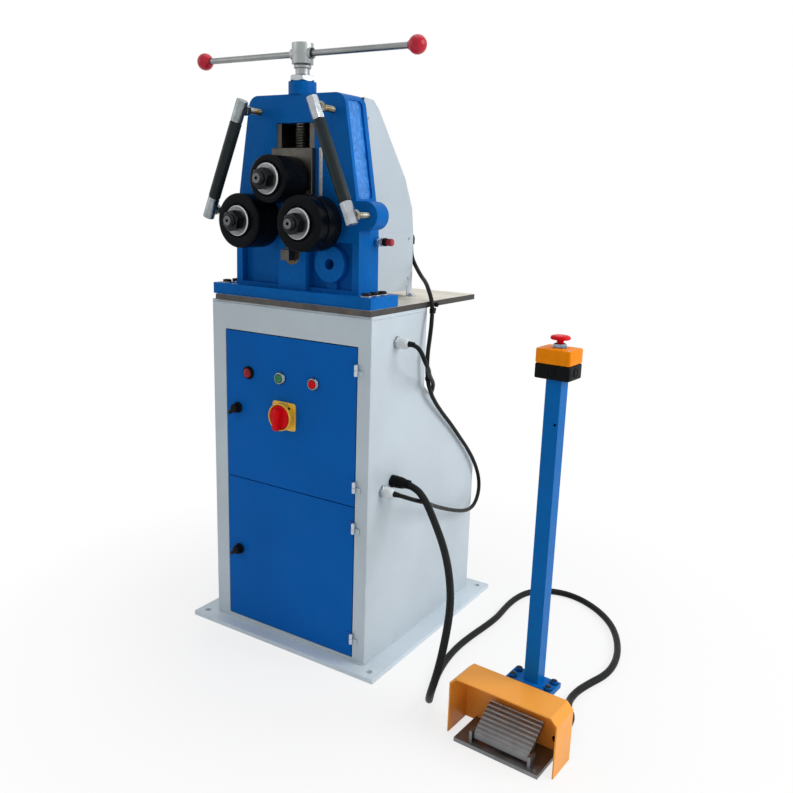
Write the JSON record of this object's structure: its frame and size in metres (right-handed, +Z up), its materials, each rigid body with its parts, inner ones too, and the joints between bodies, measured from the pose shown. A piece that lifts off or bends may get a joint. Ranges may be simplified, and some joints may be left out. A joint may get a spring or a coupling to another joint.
{
  "type": "ring roller",
  "caption": "Powered roll bending machine: profile rolls on a cast head with a hand screw, side guide rollers, steel cabinet with chain drive, and a foot pedal with stop post.",
  "frame": {"origin": "centre of the four anchor holes, on the underside of the base plate", "axes": "+X to the machine's right seen by the operator in front of it, +Y away from the operator, +Z up"},
  "size_m": [0.9502, 0.6877, 1.255],
  "materials": {
    "grey_paint": "satin light grey paint on sheet steel",
    "blue_paint": "semi-gloss blue paint",
    "cast_blue": "blue paint on rough casting",
    "raw_plate": "milled plate with light rust",
    "black_steel": "blackened tool steel",
    "bare_steel": "turned steel",
    "dark_steel": "ground steel, darkened",
    "zinc": "bright zinc plate",
    "bronze": "turned bronze",
    "black_rubber": "matt black rubber",
    "red_plastic": "gloss red",
    "green_plastic": "gloss green",
    "yellow_plastic": "gloss yellow",
    "black_plastic": "matt black",
    "white_plastic": "white strip with black lines",
    "orange_paint": "gloss orange paint",
    "orange_plastic": "gloss orange",
    "pedal_metal": "grey cast treadle",
    "motor_paint": "grey-blue enamel"
  },
  "bodies": {
    "machine": {"base_plate": "grey_paint", "cabinet_front": "grey_paint", "cabinet_sides": "grey_paint", "cabinet_back": "grey_paint", "cabinet_shelf": "grey_paint", "deck_plate": "raw_plate", "frame_casting": "cast_blue", "casting_fasteners": "black_steel", "bearing_plate": "dark_steel", "frame_bushes": "bronze", "slide_rails": "dark_steel", "scale_strip": "white_plastic", "lubricator": "zinc", "cover_sides": "grey_paint", "cover_wrap": "grey_paint", "gear_motor": "motor_paint", "motor_stand": "grey_paint", "drive_chain": "dark_steel", "hinge_pins": "zinc", "electric_panel": "zinc", "cable_glands": "zinc", "hose_fittings": "black_plastic", "pedal_base": "dark_steel", "pedal_guard": "orange_paint", "stop_post": "blue_paint", "post_bracket": "blue_paint", "stop_box_base": "black_plastic", "stop_box_lid": "orange_plastic", "cover_lead": "black_rubber", "motor_lead": "black_rubber", "pedal_hose": "black_rubber"},
    "slide": {"slider_block": "dark_steel", "slide_keepers": "dark_steel"},
    "screw": {"spindle": "bare_steel"},
    "handle": {"t_bar": "bare_steel"},
    "top_spin": {"top_shaft": "bare_steel", "top_roll": "black_steel", "top_roll_nut": "black_steel"},
    "left_spin": {"left_shaft": "bare_steel", "left_roll": "black_steel", "left_roll_nut": "black_steel"},
    "right_spin": {"right_shaft": "bare_steel", "right_roll": "black_steel", "right_roll_nut": "black_steel"},
    "pinion_spin": {"pinion_shaft": "bare_steel"},
    "drive_spin": {"drive_sprocket": "bare_steel"},
    "left_guide": {"left_guide_bar": "zinc"},
    "left_guide_spin": {"left_guide_roller": "black_rubber"},
    "right_guide": {"right_guide_bar": "zinc"},
    "right_guide_spin": {"right_guide_roller": "black_rubber"},
    "door_upper": {"upper_door": "blue_paint", "door_fittings": "yellow_plastic"},
    "door_lower": {"lower_door": "blue_paint"},
    "latch_upper": {"upper_latch": "black_plastic"},
    "latch_lower": {"lower_latch": "black_plastic"},
    "start": {"start_button": "green_plastic"},
    "stop": {"stop_button": "red_plastic"},
    "main_switch": {"switch_knob": "red_plastic"},
    "treadle": {"foot_pedal": "pedal_metal"},
    "stop_head": {"stop_button_head": "red_plastic"}
  },
  "joints": [
    {"name": "top_roll_slide", "type": "slide", "parent": "machine", "child": "slide", "axis": [0, 0, 1], "range_m": [-0.012, 0.04]},
    {"name": "screw_turn", "type": "hinge", "parent": "slide", "child": "screw", "pos_m": [0, -0.188, 1.2], "axis": [0, 0, 1], "range_deg": [-870, 2890]},
    {"name": "handle_slide", "type": "slide", "parent": "screw", "child": "handle", "axis": [1, 0, 0], "range_m": [-0.218, 0.218]},
    {"name": "top_roll_turn", "type": "hinge", "parent": "slide", "child": "top_spin", "pos_m": [0, -0.259, 0.998], "axis": [0, 1, 0], "continuous": true},
    {"name": "left_roll_turn", "type": "hinge", "parent": "machine", "child": "left_spin", "pos_m": [-0.0755, -0.259, 0.917], "axis": [0, 1, 0], "continuous": true},
    {"name": "right_roll_turn", "type": "hinge", "parent": "machine", "child": "right_spin", "pos_m": [0.0755, -0.259, 0.917], "axis": [0, 1, 0], "continuous": true},
    {"name": "pinion_turn", "type": "hinge", "parent": "machine", "child": "pinion_spin", "pos_m": [0, -0.174, 0.853], "axis": [0, 1, 0], "continuous": true},
    {"name": "drive_turn", "type": "hinge", "parent": "machine", "child": "drive_spin", "pos_m": [0, -0.121, 0.2], "axis": [0, 1, 0], "continuous": true},
    {"name": "left_guide_adjust", "type": "slide", "parent": "machine", "child": "left_guide", "axis": [0, 1, 0], "range_m": [-0.012, 0.02]},
    {"name": "left_guide_turn", "type": "hinge", "parent": "left_guide", "child": "left_guide_spin", "pos_m": [-0.13325, -0.267, 1.0325], "axis": [0.3971, 0, 0.9178], "continuous": true},
    {"name": "right_guide_adjust", "type": "slide", "parent": "machine", "child": "right_guide", "axis": [0, 1, 0], "range_m": [-0.012, 0.02]},
    {"name": "right_guide_turn", "type": "hinge", "parent": "right_guide", "child": "right_guide_spin", "pos_m": [0.13325, -0.267, 1.0325], "axis": [-0.3971, 0, 0.9178], "continuous": true},
    {"name": "upper_door_swing", "type": "hinge", "parent": "machine", "child": "door_upper", "pos_m": [0.177, -0.239, 0.52], "axis": [0, 0, 1], "range_deg": [0, 120]},
    {"name": "lower_door_swing", "type": "hinge", "parent": "machine", "child": "door_lower", "pos_m": [0.177, -0.239, 0.19], "axis": [0, 0, 1], "range_deg": [0, 120]},
    {"name": "upper_latch_turn", "type": "hinge", "parent": "door_upper", "child": "latch_upper", "pos_m": [-0.137, -0.234, 0.5167], "axis": [0, 1, 0], "range_deg": [0, 90]},
    {"name": "lower_latch_turn", "type": "hinge", "parent": "door_lower", "child": "latch_lower", "pos_m": [-0.137, -0.234, 0.1866], "axis": [0, 1, 0], "range_deg": [0, 90]},
    {"name": "start_press", "type": "slide", "parent": "door_upper", "child": "start", "axis": [0, 1, 0], "range_m": [0, 0.004], "stiffness_N_per_m": 300, "springref_m": -0.003},
    {"name": "stop_press", "type": "slide", "parent": "door_upper", "child": "stop", "axis": [0, 1, 0], "range_m": [0, 0.004], "stiffness_N_per_m": 300, "springref_m": -0.003},
    {"name": "main_switch_turn", "type": "hinge", "parent": "door_upper", "child": "main_switch", "pos_m": [-0.0066, -0.244, 0.519], "axis": [0, 1, 0], "range_deg": [0, 90]},
    {"name": "treadle_press", "type": "hinge", "parent": "machine", "child": "treadle", "pos_m": [0.57219, -0.32091, 0.022], "axis": [0.998, -0.0628, 0], "range_deg": [-9, 0], "stiffness_Nm_per_rad": 3, "springref_deg": 17.19},
    {"name": "stop_head_press", "type": "slide", "parent": "machine", "child": "stop_head", "axis": [0, 0, -1], "range_m": [0, 0.005], "stiffness_N_per_m": 400, "springref_m": -0.003}
  ],
  "couplings": [
    {"joint": "screw_turn", "follows": "top_roll_slide", "rad_per_m": 1256.6},
    {"joint": "right_roll_turn", "follows": "left_roll_turn", "ratio": 1},
    {"joint": "pinion_turn", "follows": "left_roll_turn", "ratio": -1},
    {"joint": "drive_turn", "follows": "left_roll_turn", "ratio": -1}
  ]
}
